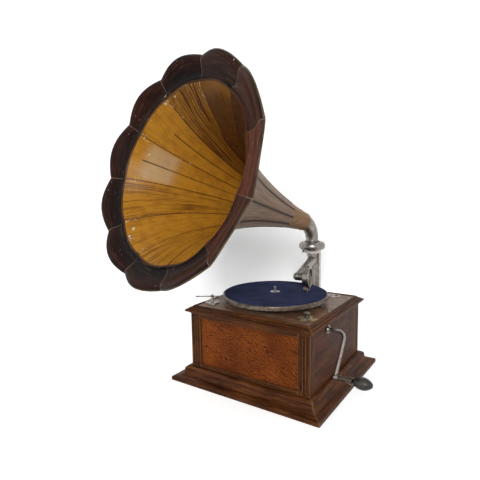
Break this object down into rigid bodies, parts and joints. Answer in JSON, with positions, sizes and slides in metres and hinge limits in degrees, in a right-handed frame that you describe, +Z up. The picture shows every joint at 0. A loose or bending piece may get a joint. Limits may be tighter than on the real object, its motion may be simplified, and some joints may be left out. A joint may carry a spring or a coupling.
{
  "type": "horn gramophone",
  "caption": "Table-top horn gramophone: moulded oak case with a clockwork motor, felt turntable, side crank, tonearm with soundbox, and a flared petal horn on a rear bracket.",
  "frame": {"origin": "middle of the underside of the base, where the case rests", "axes": "+X to the crank side, +Y to the back where the horn bracket stands, +Z up"},
  "size_m": [0.6061, 0.6183, 0.7467],
  "materials": {
    "oak": "satin",
    "oak_figured": "satin",
    "oak_board": "satin",
    "nickel": "worn polish",
    "steel": "satin",
    "brass": "satin",
    "iron": "japanned",
    "felt": "matte",
    "ebonite": "satin",
    "horn_ochre": "varnished",
    "horn_neck": "varnished",
    "horn_seam": "varnished",
    "horn_rim": "varnished",
    "mica": "satin"
  },
  "bodies": {
    "case": {"plinth_front": "oak", "plinth_back": "oak", "plinth_left": "oak", "plinth_right": "oak", "bottom_board": "oak_board", "front_panel": "oak_figured", "front_rails": "oak", "back_panel": "oak", "left_panel": "oak", "right_panel": "oak", "corner_posts": "oak", "top_moulding_front": "oak", "top_moulding_back": "oak", "top_moulding_left": "oak", "top_moulding_right": "oak", "motor_board": "oak_board", "case_screws": "brass", "motor_bedplate": "iron", "motor_lower_plate": "iron", "motor_pillars": "steel", "speed_arm_bracket": "iron", "speed_plate": "nickel", "brake_plate": "nickel", "needle_cup": "nickel", "crank_escutcheon": "nickel", "back_bracket": "nickel", "thumbscrew": "nickel", "collar": "nickel"},
    "turntable": {"spindle": "steel", "governor_wheel": "brass", "turntable_platter": "nickel", "turntable_felt": "felt"},
    "middle_wheelset": {"middle_arbor": "steel", "middle_wheel": "brass"},
    "barrel": {"spring_barrel": "brass", "mainspring": "steel"},
    "winding_arbor": {"barrel_arbor": "steel", "contrate_wheel": "brass"},
    "governor": {"governor_shaft": "steel", "governor_weights": "brass"},
    "governor_slider": {"governor_disc": "brass"},
    "speed_lever": {"speed_arm": "brass"},
    "speed_control": {"speed_knob": "nickel"},
    "brake": {"brake_lever": "nickel"},
    "crank": {"winding_shaft": "steel", "crank_rod": "nickel"},
    "crank_handle": {"crank_ferrule": "nickel", "crank_grip": "ebonite"},
    "pawl": {"ratchet_pawl": "steel"},
    "horn": {"horn_elbow": "nickel", "horn_neck": "horn_neck", "horn_petals": "horn_ochre", "horn_seams": "horn_seam", "horn_rim": "horn_rim"},
    "arm": {"tonearm": "nickel"},
    "soundbox": {"soundbox_body": "nickel", "soundbox_ring": "nickel", "soundbox_diaphragm": "mica", "stylus_bar": "nickel", "needle": "steel"}
  },
  "joints": [
    {"name": "turntable_spin", "type": "hinge", "parent": "case", "child": "turntable", "pos_m": [0, -0.012, 0.2], "axis": [0, 0, 1], "continuous": true},
    {"name": "middle_spin", "type": "hinge", "parent": "case", "child": "middle_wheelset", "pos_m": [0.04057, -0.02626, 0.11], "axis": [0, 0, 1], "continuous": true},
    {"name": "barrel_spin", "type": "hinge", "parent": "case", "child": "barrel", "pos_m": [0.086, -0.059, 0.08], "axis": [0, 0, 1], "continuous": true},
    {"name": "governor_spin", "type": "hinge", "parent": "case", "child": "governor", "pos_m": [-0.0168, -0.0411, 0.1], "axis": [0, 0, 1], "continuous": true},
    {"name": "governor_slide", "type": "slide", "parent": "governor", "child": "governor_slider", "axis": [0, 0, 1], "range_m": [-0.002, 0], "stiffness_N_per_m": 2000},
    {"name": "speed_turn", "type": "hinge", "parent": "case", "child": "speed_control", "pos_m": [0.127, -0.097, 0.19], "axis": [0, 0, 1], "range_deg": [-60, 60]},
    {"name": "speed_tilt", "type": "hinge", "parent": "case", "child": "speed_lever", "pos_m": [0.03379, -0.06077, 0.1275], "axis": [-0.3623, -0.932, 0], "range_deg": [-0.95, 0.95]},
    {"name": "brake_turn", "type": "hinge", "parent": "case", "child": "brake", "pos_m": [-0.131, -0.1, 0.2], "axis": [0, 0, 1], "range_deg": [0, 35]},
    {"name": "crank_turn", "type": "hinge", "parent": "case", "child": "crank", "pos_m": [0.15, -0.059, 0.156], "axis": [1, 0, 0], "continuous": true},
    {"name": "arbor_wind", "type": "hinge", "parent": "case", "child": "winding_arbor", "pos_m": [0.086, -0.059, 0.14], "axis": [0, 0, 1], "continuous": true},
    {"name": "pawl_lift", "type": "hinge", "parent": "case", "child": "pawl", "pos_m": [0.123, -0.046, 0.1495], "axis": [1, 0, 0], "range_deg": [-8, 12], "stiffness_Nm_per_rad": 0.002, "springref_deg": -3.15},
    {"name": "handle_spin", "type": "hinge", "parent": "crank", "child": "crank_handle", "pos_m": [0.23, -0.11683, 0.07813], "axis": [1, 0, 0], "continuous": true},
    {"name": "horn_swivel", "type": "hinge", "parent": "case", "child": "horn", "pos_m": [0, 0.208, 0.3], "axis": [0, 0, 1], "continuous": true},
    {"name": "tonearm_swing", "type": "hinge", "parent": "case", "child": "arm", "pos_m": [0, 0.208, 0.275], "axis": [0, 0, 1], "range_deg": [-8, 22]},
    {"name": "soundbox_turn", "type": "hinge", "parent": "arm", "child": "soundbox", "pos_m": [0.05772, 0.0354, 0.246], "axis": [-0.9763, -0.2164, 0], "range_deg": [0, 120]}
  ],
  "couplings": [
    {"joint": "middle_spin", "follows": "turntable_spin", "ratio": -0.19444},
    {"joint": "barrel_spin", "follows": "turntable_spin", "ratio": 0.032407},
    {"joint": "governor_spin", "follows": "turntable_spin", "ratio": -7},
    {"joint": "speed_tilt", "follows": "speed_turn", "ratio": -0.01533},
    {"joint": "arbor_wind", "follows": "crank_turn", "ratio": 0.3}
  ]
}
